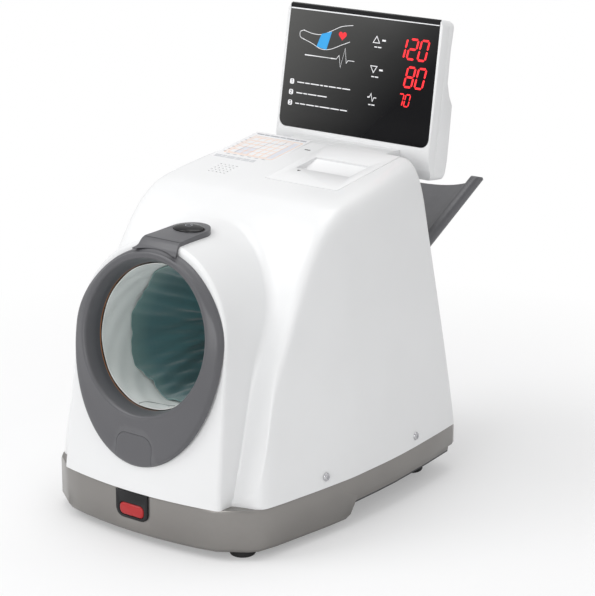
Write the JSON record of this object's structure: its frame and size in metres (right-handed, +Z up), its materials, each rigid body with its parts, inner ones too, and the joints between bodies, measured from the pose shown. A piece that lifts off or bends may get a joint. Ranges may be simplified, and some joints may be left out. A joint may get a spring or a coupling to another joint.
{
  "type": "arm-in blood pressure monitor",
  "caption": "Table-top arm-in blood pressure monitor: a moulded housing with a cuff tunnel, arm rest, leaning number display, slip printer and push buttons.",
  "frame": {"origin": "on the table under the middle of the overall box", "axes": "+X to the user's right as they face it, +Y from the cuff ring to the rear, +Z up"},
  "size_m": [0.284, 0.4697, 0.4609],
  "materials": {
    "base_grey": "satin",
    "plate_steel": "satin",
    "foot_rubber": "matte",
    "screw_steel": "polished",
    "white_housing": "satin",
    "mid_plastic": "matte",
    "dark_plastic": "matte",
    "black_gloss": "gloss",
    "port_steel": "plated",
    "grey_housing": "satin",
    "trim_cord": "braided",
    "pale_plastic": "matte",
    "bladder_rubber": "matte",
    "sleeve_cloth": "woven",
    "belt_cloth": "woven",
    "shaft_steel": "ground",
    "bracket_steel": "brushed",
    "pinion_brass": "cut",
    "motor_steel": "drawn",
    "red_button": "gloss",
    "circuit_board": "satin",
    "pad_soft": "matte",
    "hose_rubber": "matte",
    "head_alloy": "satin",
    "platen_rubber": "matte",
    "paper": "paper",
    "label_print": "printed",
    "lens": "gloss",
    "red_digits": "lit"
  },
  "bodies": {
    "monitor": {"base_tray": "base_grey", "bottom_plate": "plate_steel", "foot_front_left": "foot_rubber", "foot_front_right": "foot_rubber", "foot_rear_left": "foot_rubber", "foot_rear_right": "foot_rubber", "bottom_screws": "screw_steel", "main_cover": "white_housing", "side_screws": "screw_steel", "rear_panel": "mid_plastic", "power_inlet": "dark_plastic", "switch_frame": "dark_plastic", "data_ports": "port_steel", "cuff_ring": "grey_housing", "bib_insert": "grey_housing", "liner_trim": "trim_cord", "cuff_drum": "pale_plastic", "cuff_bladder": "bladder_rubber", "cuff_liner": "sleeve_cloth", "cuff_belt": "belt_cloth", "roller_bracket": "bracket_steel", "cuff_motor": "motor_steel", "button_bridge": "grey_housing", "start_switch": "dark_plastic", "emergency_plate": "black_gloss", "emergency_switch": "circuit_board", "arm_rest": "grey_housing", "elbow_switch": "circuit_board", "exit_shroud": "mid_plastic", "air_pump": "motor_steel", "exhaust_valve": "mid_plastic", "air_hose": "hose_rubber", "pressure_board": "circuit_board", "main_board": "circuit_board", "power_supply": "bracket_steel", "speaker": "dark_plastic", "printer_bucket": "mid_plastic", "print_head": "head_alloy", "hinge_pin": "shaft_steel", "chart_label": "label_print", "display_housing": "white_housing", "display_back": "white_housing", "display_lens": "lens", "display_board": "circuit_board", "digit_modules": "red_digits", "display_bracket": "white_housing", "display_screws": "screw_steel"},
    "roller": {"belt_roller": "shaft_steel"},
    "pinion": {"motor_pinion": "pinion_brass"},
    "start_key": {"start_button": "black_gloss"},
    "emergency_key": {"emergency_button": "red_button"},
    "elbow_key": {"elbow_pad": "pad_soft"},
    "lid": {"printer_lid": "white_housing"},
    "platen": {"platen_roller": "platen_rubber"},
    "paper": {"paper_roll": "paper"},
    "rocker": {"power_switch": "black_gloss"}
  },
  "joints": [
    {"name": "roller_spin", "type": "hinge", "parent": "monitor", "child": "roller", "pos_m": [0.076, -0.1357, 0.10519], "axis": [0, -0.981, 0.1942], "continuous": true},
    {"name": "pinion_spin", "type": "hinge", "parent": "monitor", "child": "pinion", "pos_m": [0.076, -0.10213, 0.07395], "axis": [0, -0.981, 0.1942], "continuous": true},
    {"name": "start_press", "type": "slide", "parent": "monitor", "child": "start_key", "axis": [0, 0.0558, -0.9984], "range_m": [0, 0.0015], "stiffness_N_per_m": 400, "springref_m": -0.002},
    {"name": "emergency_press", "type": "slide", "parent": "monitor", "child": "emergency_key", "axis": [0, 1, 0], "range_m": [0, 0.0016], "stiffness_N_per_m": 400, "springref_m": -0.002},
    {"name": "elbow_press", "type": "slide", "parent": "monitor", "child": "elbow_key", "axis": [0, 0.4848, -0.8746], "range_m": [0, 0.003], "stiffness_N_per_m": 900, "springref_m": -0.002},
    {"name": "lid_swing", "type": "hinge", "parent": "monitor", "child": "lid", "pos_m": [0.041, 0.07563, 0.32414], "axis": [-1, 0, 0], "range_deg": [0, 80]},
    {"name": "platen_spin", "type": "hinge", "parent": "lid", "child": "platen", "pos_m": [0.041, -0.00126, 0.30949], "axis": [1, 0, 0], "continuous": true},
    {"name": "paper_spin", "type": "hinge", "parent": "monitor", "child": "paper", "pos_m": [0.041, 0.03792, 0.29722], "axis": [1, 0, 0], "continuous": true},
    {"name": "rocker_tip", "type": "hinge", "parent": "monitor", "child": "rocker", "pos_m": [-0.008, 0.10599, 0.09135], "axis": [1, 0, 0], "range_deg": [0, 16]}
  ],
  "couplings": [
    {"joint": "pinion_spin", "follows": "roller_spin", "ratio": -3}
  ]
}
